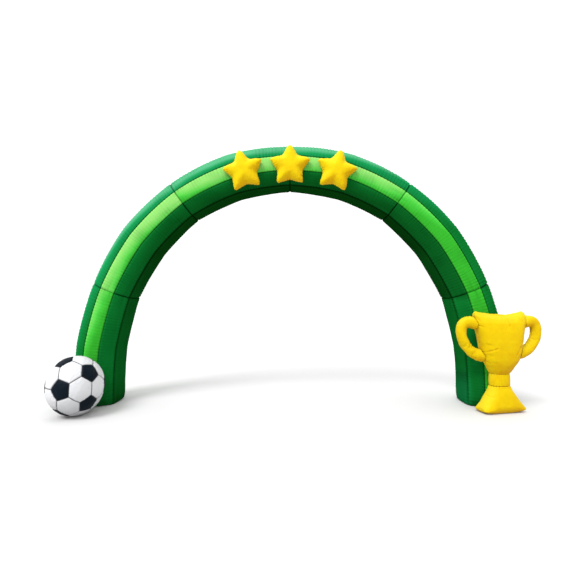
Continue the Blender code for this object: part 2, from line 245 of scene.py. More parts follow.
# Paints of the yellow cloths: bright, amber for painted shade, and lit for painted highlight
STAR_YELLOWS = (0.640, 0.480, 0.0040), (0.560, 0.300, 0.0018), (0.640, 0.560, 0.026)
TROPHY_YELLOWS = (0.560, 0.396, 0.0022), (0.520, 0.262, 0.0014), (0.590, 0.490, 0.018)
YELLOW_SHEEN = (1.0, 0.86, 0.22, 1.0)

# Paints of the ball, each from one to another, and the heights its ground shade lies between
BALL_WHITES = (0.60, 0.605, 0.625), (0.53, 0.53, 0.545)
BALL_BLACKS = (0.0034, 0.0085, 0.0150), (0.0016, 0.0040, 0.0070)
BALL_THREAD = (0.030, 0.032, 0.036)
BALL_GROUNDED = (0.40, 0.40, 0.41)
BALL_GROUNDED_FROM = (0.34, 0.02)

# How a raised place changes the greens with a painted highlight, and a sunken place with painted
# shade
RIDGE_TINT = (1.7, 1.25, 1.5)
VALLEY_TINT = (0.25, 0.36, 0.28)

# Needle lines, dark from their thread and from painted shade in the seam's groove; the painted
# highlight of the paler edge beside them; and how fast a dip darkens the cloth with painted shade
VALLEY_SHADE = 120.0
YELLOW_VALLEY_SHADE = 110.0
NEEDLE_WIDTH = 0.0065
YELLOW_NEEDLE_WIDTH = 0.005
BALL_NEEDLE_WIDTH = 0.0055
EDGE_FROM_SEAM = 0.019
EDGE_WIDTH = 0.007

# Heights between which the legs turn paler, over their front and inner panels, as their painted
# shade gives way to painted sunlight
LEG_TOP = (1.56, 1.40)
LEG_FOOT = (0.36, 0.54)

# Weave of every cloth
THREAD_PITCH = 0.0022
THREAD_HEIGHT = 0.00006

# Lowest point that a soft piece may reach
GROUND_CLEARANCE = 0.0002

# Camera, about the middle of the arch: place, tilt up, turn left and lens
EYE = (0.0205, -5.972, 1.5755)
EYE_TILT = 0.0082
EYE_TURN = 0.0083
LENS_MM = 26.0
SENSOR_MM = 36.0
VIEW_REACH = 300.0

# Light: one soft sun on the left, and a sky that is brighter overhead
SUN_TOWARDS = (0.38, 0.54, -0.75)
SUN_SPREAD_DEG = 26.0
SUN_STRENGTH = 2.6
SKY_STRENGTH = 1.03
SKY_OVERHEAD = 0.6
FLOOR_PAINT = (0.56, 0.56, 0.56)
FLOOR_RADIUS = 90.0
FLOOR_BELOW = 0.0005


class Value:
    """A node's output that takes part in ordinary arithmetic."""

    def __init__(self, tree, socket):
        self.tree = tree
        self.socket = socket

    def maths(self, operation, *others):
        feeds = {i: value for i, value in enumerate((self, *others))}
        return self.tree.get("ShaderNodeMath", {"operation": operation}, feeds)

    def __add__(self, other):
        return self.maths("ADD", other)

    __radd__ = __add__

    def __sub__(self, other):
        return self.maths("SUBTRACT", other)

    def __rsub__(self, other):
        return self.tree.constant(other).maths("SUBTRACT", self)

    def __mul__(self, other):
        return self.maths("MULTIPLY", other)

    __rmul__ = __mul__

    def __truediv__(self, other):
        return self.maths("DIVIDE", other)

    def __pow__(self, other):
        return self.maths("POWER", other)

    def __neg__(self):
        return self.maths("MULTIPLY", -1.0)

    def __abs__(self):
        return self.maths("ABSOLUTE")

    def __lt__(self, other):
        return self.maths("LESS_THAN", other)

    def __gt__(self, other):
        return self.maths("GREATER_THAN", other)

    def sin(self):
        return self.maths("SINE")

    def exp(self):
        return self.maths("EXPONENT")

    def sqrt(self):
        return self.maths("SQRT")

    def round(self):
        return self.maths("ROUND")

    def fract(self):
        return self.maths("FRACT")

    def least(self, other):
        return self.maths("MINIMUM", other)

    def most(self, other):
        return self.maths("MAXIMUM", other)

    def clamped(self):
        """Kept between nought and one."""
        return self.most(0.0).least(1.0)


class Tree:
    """A node tree, geometry or shader, written as expressions."""

    def __init__(self, tree):
        self.tree = tree

    def node(self, kind, settings=None, inputs=None):
        node = self.tree.nodes.new(kind)
        for name, value in (settings or {}).items():
            setattr(node, name, value)
        for key, value in (inputs or {}).items():
            self.feed(node.inputs[key], value)
        return node

    def feed(self, socket, value):
        if isinstance(value, Value):
            self.tree.links.new(value.socket, socket)
        else:
            socket.default_value = value

    def get(self, kind, settings=None, inputs=None, output=0):
        return Value(self, self.node(kind, settings, inputs).outputs[output])

    def constant(self, number):
        value = self.get("ShaderNodeValue")
        value.socket.default_value = number
        return value

    def combine(self, x, y, z):
        return self.get("ShaderNodeCombineXYZ", None, {0: x, 1: y, 2: z})

    def parts(self, vector):
        node = self.node("ShaderNodeSeparateXYZ", None, {0: vector})
        return [Value(self, socket) for socket in node.outputs]

    def vector(self, operation, *inputs):
        feeds = dict(enumerate(inputs))
        return self.get("ShaderNodeVectorMath", {"operation": operation}, feeds)

    def dot(self, first, second):
        feeds = {0: first, 1: second}
        return self.get("ShaderNodeVectorMath", {"operation": "DOT_PRODUCT"}, feeds, "Value")

    def scaled(self, vector, factor):
        feeds = {0: vector, "Scale": factor}
        return self.get("ShaderNodeVectorMath", {"operation": "SCALE"}, feeds)

    def noise(self, vector, scale, detail=1.0, roughness=0.5):
        feeds = {"Vector": vector, "Scale": scale, "Detail": detail, "Roughness": roughness}
        return self.get("ShaderNodeTexNoise", None, feeds)

    def mark(self, label, output="Fac"):
        """A field that the geometry trees kept on the points."""
        return self.get("ShaderNodeAttribute", {"attribute_name": label}, None, output)

    def mix(self, factor, first, second):
        feeds = {0: factor}
        for key, colour in ((6, first), (7, second)):
            feeds[key] = colour if isinstance(colour, Value) else (*colour, 1.0)
        return self.get("ShaderNodeMix", {"data_type": "RGBA"}, feeds, 2)

    def choose(self, index, numbers):
        """The number of a short row that an index names."""
        node = self.node("GeometryNodeIndexSwitch", {"data_type": "FLOAT"})
        while len(node.index_switch_items) < len(numbers):
            node.index_switch_items.new()
        self.feed(node.inputs["Index"], index)
        for i, number in enumerate(numbers):
            node.inputs[str(i)].default_value = number
        return Value(self, node.outputs[0])


class GeometryTree(Tree):
    """A geometry tree with named inputs, run on an empty mesh and made plain."""

    def __init__(self, name, inputs):
        super().__init__(bpy.data.node_groups.new(name, "GeometryNodeTree"))
        face = self.tree.interface
        face.new_socket("Geometry", in_out="OUTPUT", socket_type="NodeSocketGeometry")
        start = self.tree.nodes.new("NodeGroupInput")
        self.named = {}
        self.sockets = {}
        for label, kind in inputs:
            item = face.new_socket(label, in_out="INPUT", socket_type="NodeSocket" + kind)
            self.sockets[label] = item.identifier
            self.named[label] = Value(self, start.outputs[label])

    def __getitem__(self, label):
        return self.named[label]

    def shape_of(self, label):
        """The shape of the object that an input names."""
        return self.get("GeometryNodeObjectInfo", {"transform_space": "ORIGINAL"},
                        {"Object": self[label]}, "Geometry")

    def marked(self, geometry, marks, kind="FLOAT"):
        """The geometry with fields kept on its points for the finish to read."""
        for label, field in marks:
            geometry = self.get(
                "GeometryNodeStoreNamedAttribute", {"data_type": kind, "domain": "POINT"},
                {"Geometry": geometry, "Name": label, "Value": field})
        return geometry

    def end(self, geometry, material):
        real = self.get("GeometryNodeRealizeInstances", None, {0: geometry})
        dressed = self.get("GeometryNodeSetMaterial", None, {0: real, "Material": material})
        finish = self.tree.nodes.new("NodeGroupOutput")
        self.feed(finish.inputs[0], dressed)

    def run(self, name, values):
        """A plain object made by this tree with the given inputs."""
        seed = new_object(name + "_seed", bpy.data.meshes.new(name + "_seed"))
        modifier = seed.modifiers.new("made", "NODES")
        modifier.node_group = self.tree
        for label, value in values.items():
            modifier[self.sockets[label]] = value
        depsgraph = bpy.context.evaluated_depsgraph_get()
        mesh = bpy.data.meshes.new_from_object(seed.evaluated_get(depsgraph))
        bpy.data.objects.remove(seed)
        mesh.name = name
        return new_object(name, mesh)


def new_object(name, data):
    """An object of the scene that holds a mesh, curve, light or camera."""
    made = bpy.data.objects.new(name, data)
    bpy.context.scene.collection.objects.link(made)
    return made


def on_line(away, width):
    """One on a line, and nothing a few widths away from it."""
    share = away / width
    return (-share * share).exp()


def ramp(value, start, end):
    """Nought before the start, one past the end."""
    return ((value - start) / (end - start)).clamped()


def crowded(share, amount):
    """A share from nought to one whose steps crowd to both ends."""
    return share - (share * (2.0 * math.pi)).sin() * (amount / (2.0 * math.pi))


def face_outwards(mesh):
    build = bmesh.new()
    build.from_mesh(mesh)
    bmesh.ops.recalc_face_normals(build, faces=build.faces)
    build.to_mesh(mesh)
    build.free()


def soften(mesh, crease_deg=55.0):
    mesh.shade_smooth()
    mesh.set_sharp_from_angle(angle=math.radians(crease_deg))


def middle_line():
    """The tube's middle line as a curve object, from the left foot to the right."""
    angle = np.linspace(0.0, math.pi, LINE_SAMPLES)
    power = 2.0 / ARCH_SQUARENESS
    across = np.sign(np.cos(angle)) * np.abs(np.cos(angle)) ** power
    x = np.concatenate([[-ARCH_HALF_SPAN], -ARCH_HALF_SPAN * across, [ARCH_HALF_SPAN]])
    z = LEG_STRAIGHT + ARCH_RISE * np.abs(np.sin(angle)) ** power
    z = np.concatenate([[0.0], z, [0.0]])
    curve = bpy.data.curves.new("middle_line", "CURVE")
    curve.dimensions = "3D"
    spline = curve.splines.new("POLY")
    spline.points.add(len(x) - 1)
    places = np.column_stack([x + ARCH_X, np.full_like(x, ARCH_Y), z, np.ones_like(x)])
    spline.points.foreach_set("co", places.ravel())
    length = float(np.hypot(np.diff(x), np.diff(z)).sum())
    return new_object("middle_line", curve), length


def puckers(tree, along, key, away, reach, height):
    """Rounded lobes between sharp valleys that run off a seam and fade out."""
    spot = tree.combine(along, key * 3.7, 0.0)
    jitter = tree.noise(spot, 7.0, 1.0) - 0.5
    phase = along * (math.pi / PUCKER_PITCH) + jitter * 5.0
    lobes = abs(phase.sin()) ** 0.7 - 0.7
    strength = tree.noise(spot, 11.0, 1.0) * 2.2 - 0.25
    longer = tree.noise(spot, 17.0, 0.0) * 1.6 + 0.2
    fade = (-away / (longer * reach)).exp()
    return lobes * strength.most(0.15) * fade * height


def tube_fields(tree, along, run, length):
    """Place, outward direction and sizes of the section at a distance along."""
    sample = tree.node("GeometryNodeSampleCurve", {"mode": "LENGTH", "data_type": "FLOAT"},
                       {"Curves": tree.shape_of("Middle Line"), "Length": along})
    place = Value(tree, sample.outputs["Position"])
    tangent = tree.parts(Value(tree, sample.outputs["Tangent"]))
    outward = tree.combine(-tangent[2], 0.0, tangent[0])
    fraction = (along / run).fract()
    full = abs((fraction * math.pi).sin()) ** SEAM_FULLNESS
    from_ground = along.least(length - along)
    low = 1.0 - (from_ground / FOOT_ROUND_HEIGHT).least(1.0)
    grown = (1.0 - low * low).most(0.0).sqrt()
    near = from_ground < run * 0.5

    def blend(at_foot, at_seam):
        foot = at_foot + (1.0 - at_foot) * grown
        seam = at_seam + (1.0 - at_seam) * full
        return seam + (foot - seam) * near

    in_gore = (fraction * GORES_IN_SEGMENT).fract()
    return {
        "place": place,
        "outward": outward,
        "radial": blend(FOOT_RADIAL, SEAM_PINCH),
        "depth": HALF_DEPTH * blend(FOOT_DEPTH, SEAM_PINCH),
        "side": HALF_SIDE * blend(FOOT_SIDE, SEAM_PINCH),
        "bulge": PANEL_BULGE * blend(FOOT_BULGE, SEAM_BULGE),
        "shift": in_gore * (1.0 - in_gore) * (-4.0 * GORE_FLATNESS),
        "from_ground": from_ground,
    }


def seam_direction(seam):
    """Out and depth of the way a seam faces: between its two panels."""
    ring = [(-STRIPE_WIDTH / 2.0, -HALF_DEPTH), (STRIPE_WIDTH / 2.0, -HALF_DEPTH),
            (HALF_RADIAL, -HALF_SIDE), (HALF_RADIAL, HALF_SIDE)]
    ring += [(-out, -deep) for out, deep in ring]
    here, before, after = (Vector(ring[(seam + step) % 8]) for step in (0, -1, 1))
    faces = [Vector((edge.y, -edge.x)).normalized() for edge in (here - before, after - here)]
    return (faces[0] + faces[1]).normalized()


def band_tree(band):
    """Geometry tree of one band of the tube between two cross seams."""
    corners = BANDS[band]
    sides = len(corners)
    count = sum(row[5] for row in corners)
    tree = GeometryTree("band_" + band, (
        ("Middle Line", "Object"), ("Start", "Float"), ("End", "Float"), ("Length", "Float"),
        ("Run", "Float"), ("Pucker Height", "Float"), ("Seed", "Float"), ("Cloth", "Material"),
        ("Start Tone", "Float"), ("End Tone", "Float"),
    ))
    rows = STATIONS + 2
    grid = tree.get("GeometryNodeMeshGrid", None, {
        "Size X": 1.0, "Size Y": 1.0, "Vertices X": rows, "Vertices Y": count + 1})
    spot = tree.parts(tree.get("GeometryNodeInputPosition"))
    row = ((spot[0] + 0.5) * (rows - 1)).round()
    column = ((spot[1] + 0.5) * count).round()
    column = column - count * (column > count - 0.5)

    # How far along the segment, and whether the row is an end's middle point
    at_pole = (row < 0.5) + (row > rows - 1.5)
    fraction = crowded(ramp(row, 1.0, rows - 2.0), END_CROWDING)
    along = tree["Start"] + (tree["End"] - tree["Start"]) * fraction
    at = tube_fields(tree, along, tree["Run"], tree["Length"])

    # Which side of the band, and how far across it
    edges = [sum(r[5] for r in corners[:i]) for i in range(sides + 1)]
    side = 0.0 + sum(((column > edge - 0.5) for edge in edges[2:-1]), column > edges[1] - 0.5)
    first = tree.choose(side, edges[:-1])
    points = tree.choose(side, [r[5] for r in corners])
    across = crowded((column - first) / points, EDGE_CROWDING)
    half_stripe = STRIPE_WIDTH / 2.0 + (-GAP if band == "stripe" else GAP) / 2.0

    def corner(offset):
        rows_of = [corners[(i + offset) % sides] for i in range(sides)]
        stripe, radial, depth, half_side, seam = (
            tree.choose(side, [r[k] for r in rows_of]) for k in range(5))
        faces = [seam_direction(r[4]) for r in rows_of]
        out = stripe * half_stripe + radial * HALF_RADIAL
        deep = depth * at["depth"] + half_side * at["side"]
        facing = [tree.choose(side, [face[k] for face in faces]) for k in range(2)]
        return out * at["radial"], deep, seam, facing

    out_a, deep_a, seam_a, facing_a = corner(0)
    out_b, deep_b, seam_b, facing_b = corner(1)
    edge_out = out_b - out_a
    edge_deep = deep_b - deep_a
    width = (edge_out * edge_out + edge_deep * edge_deep).sqrt()
    round_off = tree.choose(side, [r[6] for r in corners])

    # Height of the cloth over the straight line between the side's corners
    arch = (across * (1.0 - across) * 4.0).most(0.0) ** PANEL_ROUNDNESS
    crown = arch * at["bulge"] * width * round_off
    from_a = across * width
    from_b = (1.0 - across) * width
    near_seam = from_a.least(from_b)
    from_start = along - tree["Start"]
    from_end = tree["End"] - along
    near_end = from_start.least(from_end)
    seed = tree["Seed"]
    sewn = 0.0
    for seam, away in ((seam_a, from_a), (seam_b, from_b)):
        high = tree["Pucker Height"] * (1.0 + (seam > 1.5) * (seam < 3.5) * EDGE_EXTRA)
        sewn = puckers(tree, along, seam + 0.5, away, PUCKER_REACH, high) + sewn
        sewn = puckers(tree, along, seam + 9.5, away, RIB_REACH, high * RIB_SHARES[band]) + sewn
    end_key = (from_end < from_start) + seed * 2.0
    gathered = puckers(tree, from_a + side * 0.37, end_key + 19.5, near_end,
                       END_PUCKER_REACH, tree["Pucker Height"])
    groove = (on_line(near_seam, GROOVE_WIDTH)
              + on_line(near_end, GROOVE_WIDTH) * END_GROOVE_SHARE)
    cloth_spot = tree.combine(along, from_a + side * 1.7, seam_a)
    slack = (tree.noise(cloth_spot, 2.6, 2.0) - 0.5) * SLACK_HEIGHT
    drawn = tree.combine(along * 1.1, (from_a + side * 0.7) * 9.0, end_key)
    folds = (tree.noise(drawn, 1.6, 1.0) - 0.5) * (-near_end / END_FOLD_REACH).exp()
    at_ground = tree.combine(at["from_ground"] * 9.0, (from_a + side * 1.3) * 1.6, seam_a)
    creases = (tree.noise(at_ground, 2.4, 1.0) - 0.5) * (-at["from_ground"] / CREASE_REACH).exp()
    loose = slack + folds * END_FOLD_HEIGHT + creases * CREASE_HEIGHT
    fine = sewn + gathered + loose * (near_seam / FLAT_BY_SEAM).least(1.0)
    lift = crown + fine - groove * GROOVE_DEPTH

    # Into the room: outward and back from the middle line
    normal_out = edge_deep / width
    normal_deep = -edge_out / width
    by_a = (-from_a / CORNER_REACH).exp()
    by_b = (-from_b / CORNER_REACH).exp()

    def turned(flat, at_a, at_b):
        return flat + (at_a - flat) * by_a + (at_b - flat) * by_b

    lift_out = turned(normal_out, facing_a[0], facing_b[0])
    lift_deep = turned(normal_deep, facing_a[1], facing_b[1])
    out = out_a + edge_out * across + lift_out * lift
    deep = deep_a + edge_deep * across + lift_deep * lift
    middle_out = sum(r[0] for r in corners) / sides * (STRIPE_WIDTH / 2.0)
    middle_out += sum(r[1] for r in corners) / sides * HALF_RADIAL
    out = out + (middle_out - out) * at_pole
    deep = deep * (1.0 - at_pole)
    place = tree.vector("ADD", at["place"], tree.scaled(at["outward"], out + at["shift"]))
    place = tree.vector("ADD", place, tree.combine(0.0, deep, 0.0))
    # Fields for the painted light and shade: which panels lie underneath, how much each looks up and
    # to the sun, and its segment's tone
    below = tree.choose(side, [0.5, 1.0, 0.5, 0.5] if band == "inner" else [0.0])
    slope = (1.0 - across * 2.0) * at["bulge"] * 4.0
    outward = tree.parts(at["outward"])
    skyward = outward[0] * PAINTED_LIGHT_SIDE + outward[2] * PAINTED_LIGHT_UP
    tone = (tree["Start Tone"] * (-from_start / TONE_REACH).exp()
            + tree["End Tone"] * (-from_end / TONE_REACH).exp())
    upward = skyward * (normal_out - slope * edge_out / width)

    def thread(seam):
        """How much wider than the others a seam's dark line is."""
        return 1.0 + (seam > 5.5) * INNER_SEAM_EXTRA

    shape = tree.marked(grid, (
        # attribute, field
        ("near_seam", (from_a / thread(seam_a)).least(from_b / thread(seam_b))),
        ("near_end", near_end),
        ("lift", fine),
        ("underside", below),
        ("upward", upward),
        ("skyward", skyward + tone),
        ("rightward", outward[0]),
        ("grounded", (-at["from_ground"] / GROUND_SHADE_REACH).exp()),
    ))
    weft = tree.combine(along, from_a + side * 0.61, 0.0)
    shape = tree.marked(shape, (("weft", weft),), "FLOAT_VECTOR")
    shape = tree.get("GeometryNodeSetPosition", None, {"Geometry": shape, "Position": place})
    shape = tree.get("GeometryNodeMergeByDistance", None, {"Geometry": shape, "Distance": 0.00001})
    tree.end(shape, tree["Cloth"])
    return tree


def build_tube(line, length, cloths):
    """Eighteen puckered bands, each in the place of its solid."""
    run = length / SEGMENTS
    slots = {"outer": "dark_green_cloth", "stripe": "light_green_cloth", "inner": "dark_green_cloth"}
    for band, slot_name in slots.items():
        tree = band_tree(band)
        for segment in range(SEGMENTS):
            start = segment * run + (GAP / 2.0 if segment else 0.0)
            end = (segment + 1) * run - (GAP / 2.0 if segment < SEGMENTS - 1 else 0.0)
            name = f"cloth_{segment + 1}_{band}"
            piece = tree.run(name, {
                "Middle Line": line, "Start": start, "End": end, "Length": length, "Run": run,
                "Pucker Height": PUCKER_HEIGHT, "Seed": float(segment), "Cloth": cloths[slot_name],
                "Start Tone": SEGMENT_TONES[segment][0], "End Tone": SEGMENT_TONES[segment][1]})
            face_outwards(piece.data)
            soften(piece.data)
            finish_soft(piece, f"tube_{segment + 1}_{band}")


def finish_soft(piece, node):
    """Puts a padded piece on the root body in place of its solid, which it hides."""
    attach(piece, "root")
    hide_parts(node)


def spare_copy(name, node):
    """A welded copy of a solid, to be dressed in its place."""
    mesh = bpy.data.objects[node].data.copy()
    mesh.materials.clear()
    build = bmesh.new()
    build.from_mesh(mesh)
    bmesh.ops.remove_doubles(build, verts=build.verts, dist=0.00002)
    build.to_mesh(mesh)
    build.free()
    return new_object(name, mesh)


def apply_modifiers(piece):
    """Bakes the live modifiers of a piece into its mesh."""
    depsgraph = bpy.context.evaluated_depsgraph_get()
    mesh = bpy.data.meshes.new_from_object(piece.evaluated_get(depsgraph))
    piece.modifiers.clear()
    old = piece.data
    piece.data = mesh
    bpy.data.meshes.remove(old)


def places_of(mesh):
    places = np.empty(len(mesh.vertices) * 3)
    mesh.vertices.foreach_get("co", places)
    return places.reshape(-1, 3)


def puffed(name, node, voxel, held, seams):
    """A filled piece: its solid remeshed, then blown up as cloth between its seams."""
    piece = spare_copy(name, node)
    remesh = piece.modifiers.new("even_mesh", "REMESH")
    remesh.mode = "VOXEL"
    remesh.voxel_size = voxel
    smooth = piece.modifiers.new("no_steps", "SMOOTH")
    smooth.factor = 0.5
    smooth.iterations = 1
    apply_modifiers(piece)
    start = places_of(piece.data)
    marks = (
        # group, weight of every vertex
        ("held", held(start)),
        ("sewn", seams(start)),
    )
    for label, weights in marks:
        group = piece.vertex_groups.new(name=label)
        for index in np.flatnonzero(weights > 0.01):
            group.add([int(index)], float(weights[index]), "REPLACE")
    cloth = piece.modifiers.new("blown_up", "CLOTH")
    cloth.settings.quality = 5
    cloth.settings.use_pressure = True
    cloth.settings.uniform_pressure_force = CLOTH_PRESSURE
    cloth.settings.vertex_group_mass = "held"
    cloth.settings.vertex_group_shrink = "sewn"
    cloth.settings.shrink_max = SEAM_SHRINK
    cloth.settings.effector_weights.gravity = 0.0
    cloth.settings.bending_stiffness = CLOTH_STIFFNESS
    cloth.collision_settings.use_collision = False
    cloth.point_cache.frame_end = CLOTH_FRAMES
    scene = bpy.context.scene
    for number in range(1, CLOTH_FRAMES + 1):
        scene.frame_set(number)
    apply_modifiers(piece)
    scene.frame_set(1)
    piece.vertex_groups.clear()
    moved = places_of(piece.data) - start
    reach = np.linalg.norm(moved, axis=1, keepdims=True)
    capped = start + moved * np.minimum(1.0, CLOTH_CAP / np.maximum(reach, 1e-9))
    piece.data.vertices.foreach_set("co", capped.ravel())
    finer = piece.modifiers.new("finer", "SUBSURF")
    finer.levels = 1
    finer.render_levels = 1
    apply_modifiers(piece)
    return piece


def sewing_tree():
    """Geometry tree that sews two flat-lying seams into a filled piece."""
    named = [("Cloth", "Material"), ("Piece", "Object"), ("Fold Lines", "Object"),
             ("Fold Depth", "Float"), ("Fold Width", "Float"), ("Seed", "Float")]
    for label in ("A", "B"):
        named += [(f"{label} Middle", "Vector"), (f"{label} Normal", "Vector"),
                  (f"{label} Puckers", "Float"), (f"{label} Reach", "Float"),
                  (f"{label} Height", "Float"), (f"{label} Groove", "Float")]
    tree = GeometryTree("sewn_in_seams", named)
    place = tree.get("GeometryNodeInputPosition")
    normal = tree.get("GeometryNodeInputNormal")
    lift = tree.constant(0.0)
    groove = tree.constant(0.0)
    nearest = tree.constant(1.0)
    for number, label in enumerate("AB"):
        from_middle = tree.vector("SUBTRACT", place, tree[label + " Middle"])
        axis = tree.vector("NORMALIZE", tree[label + " Normal"])
        away = tree.dot(from_middle, axis)
        flat = tree.vector("SUBTRACT", from_middle, tree.scaled(axis, away))
        across = tree.vector("CROSS_PRODUCT", axis, (0.31, 0.47, 0.83))
        along = tree.vector("CROSS_PRODUCT", axis, across)
        turn = tree.dot(flat, along).maths("ARCTAN2", tree.dot(flat, across))
        away = abs(away)
        spot = tree.scaled(flat, 9.0)
        spot = tree.vector("ADD", spot, tree.combine(tree["Seed"] * 3.1, number * 7.7, 0.0))
        jitter = tree.noise(spot, 1.0, 1.0) - 0.5
        lobes = abs((turn * tree[label + " Puckers"] * 0.5 + jitter * 3.0).sin()) ** 0.7 - 0.65
        strength = (tree.noise(spot, 1.7, 1.0) * 2.2 - 0.2).most(0.2)
        fade = (-away / tree[label + " Reach"]).exp()
        lift = lift + lobes * strength * fade * tree[label + " Height"]
        groove = groove.most(on_line(away, GROOVE_WIDTH) * tree[label + " Groove"])
        nearest = nearest.least(away + (tree[label + " Groove"] < 0.0001))
    found = tree.node("GeometryNodeProximity", {"target_element": "EDGES"},
                      {"Geometry": tree.shape_of("Fold Lines")})
    away = Value(tree, found.outputs["Distance"]) / tree["Fold Width"]
    fold = on_line(away - FOLD_RIDGE_AWAY, 1.0) * FOLD_RIDGE - on_line(away, 1.0)
    fold = fold * Value(tree, found.outputs["Is Valid"]) * tree["Fold Depth"]
    slack = (tree.noise(place, 7.0, 2.0) - 0.5) * YELLOW_SLACK
    lift = lift + slack + fold
    moved = tree.vector("ADD", place, tree.scaled(normal, lift - groove))
    x, y, z = tree.parts(moved)
    faces = tree.parts(normal)
    shape = tree.marked(tree.shape_of("Piece"), (
        # attribute, field
        ("near_seam", nearest),
        ("lift", lift),
        ("upward", faces[2]),
        ("rightward", faces[0]),
    ))
    shape = tree.get("GeometryNodeSetPosition", None, {
        "Geometry": shape, "Position": tree.combine(x, y, z.most(GROUND_CLEARANCE))})
    tree.end(shape, tree["Cloth"])
    return tree


def fold_lines(node, folds):
    """Short lines over the front of a solid that lift off it at both ends."""
    solid = bpy.data.objects[node]
    mesh = bpy.data.meshes.new("folds_of_" + node)
    build = bmesh.new()
    for ends in folds:
        last = None
        for step in range(FOLD_STEPS + 1):
            share = step / FOLD_STEPS
            point = Vector(ends[0]).lerp(Vector(ends[1]), share)
            before = (point.x, FOLD_RAY_START, point.y)
            hit, place, normal, _ = solid.ray_cast(before, (0.0, 1.0, 0.0))
            if not hit:
                last = None
                continue
            rise = FOLD_RISE * (2.0 * share - 1.0) ** 4
            corner = build.verts.new(place + normal * rise)
            if last:
                build.edges.new((last, corner))
            last = corner
    build.to_mesh(mesh)
    build.free()
    return new_object("folds_of_" + node, mesh)


def sewn(tree, piece, node, cloth, seams, seed, folds=()):
    """Runs the sewing tree on a filled piece and puts it in place of its solid."""
    lines = fold_lines(node, folds)
    values = {"Cloth": cloth, "Piece": piece, "Seed": seed, "Fold Lines": lines,
              "Fold Depth": FOLD_DEPTH, "Fold Width": FOLD_WIDTH}
    for label, row in zip("AB", seams):
        middle, normal, puckers_round, reach, height, groove = row
        values.update({
            label + " Middle": middle, label + " Normal": normal,
            label + " Puckers": float(puckers_round), label + " Reach": reach,
            label + " Height": height, label + " Groove": groove})
    done = tree.run(piece.name + "_cloth", values)
    bpy.data.objects.remove(piece)
    bpy.data.objects.remove(lines)
    soften(done.data, 60.0)
    finish_soft(done, node)


NO_SEAM = ((0.0, 0.0, 0.0), (0.0, 0.0, 1.0), 1, 0.01, 0.0, 0.0)


def near_plane(point, normal, reach):
    """Weights that are full on a plane and fade to nothing away from it."""
    axis = Vector(normal).normalized()

    def weights(places):
        away = np.abs((places - np.array(point)) @ np.array(axis))
        return np.clip(1.0 - away / reach, 0.0, 1.0)

    return weights


def middle_of(node):
    low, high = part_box(node)
    return (low + high) / 2.0


def build_stars(tree, cloth):
    """Three plump stars, each sewn round its outline and held at its flat back."""
    for number in range(1, 4):
        node = f"star_{number}"
        middle = middle_of(node)
        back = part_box(node)[1].y
        seam_y = back - STAR_BACK
        puff = puffed(f"gold_star_{number}", node, VOXELS["star"],
                      lambda places: (places[:, 1] > back - STAR_HELD).astype(float),
                      near_plane((0.0, seam_y, 0.0), (0.0, 1.0, 0.0), SEAM_DRAWN))
        seam = ((middle.x, seam_y, middle.z), (0.0, 1.0, 0.0), *YELLOW_SEAMS["star"])
        sewn(tree, puff, node, cloth, (seam, NO_SEAM), number)


def build_trophy(tree, cloth):
    """Base, neck, closed cup and two handles, joined by puckered seams."""
    turn = Matrix.Rotation(math.radians(TROPHY_TURN_DEG), 3, "Z")
    facing = tuple(turn @ Vector((0.0, 1.0, 0.0)))
    level = (0.0, 0.0, 1.0)
    low_joint, high_joint = NECK_JOINTS
    cup = middle_of("trophy_cup")
    stand = middle_of("trophy_neck")
    side_seam = (tuple(cup), facing, *YELLOW_SEAMS["cup"])
    rings = [((stand.x, stand.y, z), level, *YELLOW_SEAMS["neck"]) for z in NECK_JOINTS]
    pieces = (
        # node, voxel, seams
        ("trophy_cup", "cup", (rings[1], side_seam)),
        ("trophy_neck", "neck", rings),
        ("trophy_base", "base", (rings[0], NO_SEAM)),
    )
    for node, voxel, seams in pieces:
        def held(places):
            height = places[:, 2]
            free = ((height > GROUND_HELD) & (np.abs(height - low_joint) > JOINT_HELD)
                    & (np.abs(height - high_joint) > JOINT_HELD))
            return 1.0 - free.astype(float)
        puff = puffed("gold_" + node, node, VOXELS[voxel], held,
                      near_plane(seams[0][0], seams[0][1], JOINT_DRAWN))
        folds = CUP_FOLDS if voxel == "cup" else ()
        sewn(tree, puff, node, cloth, seams, 7.0 + len(node), folds)
    for side in ("left", "right"):
        node = "trophy_handle_" + side
        low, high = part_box(node)
        middle = middle_of(node)
        root_x = high.x if side == "left" else low.x
        puff = puffed("gold_handle_" + side, node, VOXELS["handle"],
                      lambda places: (np.abs(places[:, 0] - root_x) < ROOT_HELD).astype(float),
                      near_plane(tuple(middle), facing, SEAM_DRAWN))
        seam = (tuple(middle), facing, *YELLOW_SEAMS["handle"])
        sewn(tree, puff, node, cloth, (seam, NO_SEAM), 11.0 + len(side))


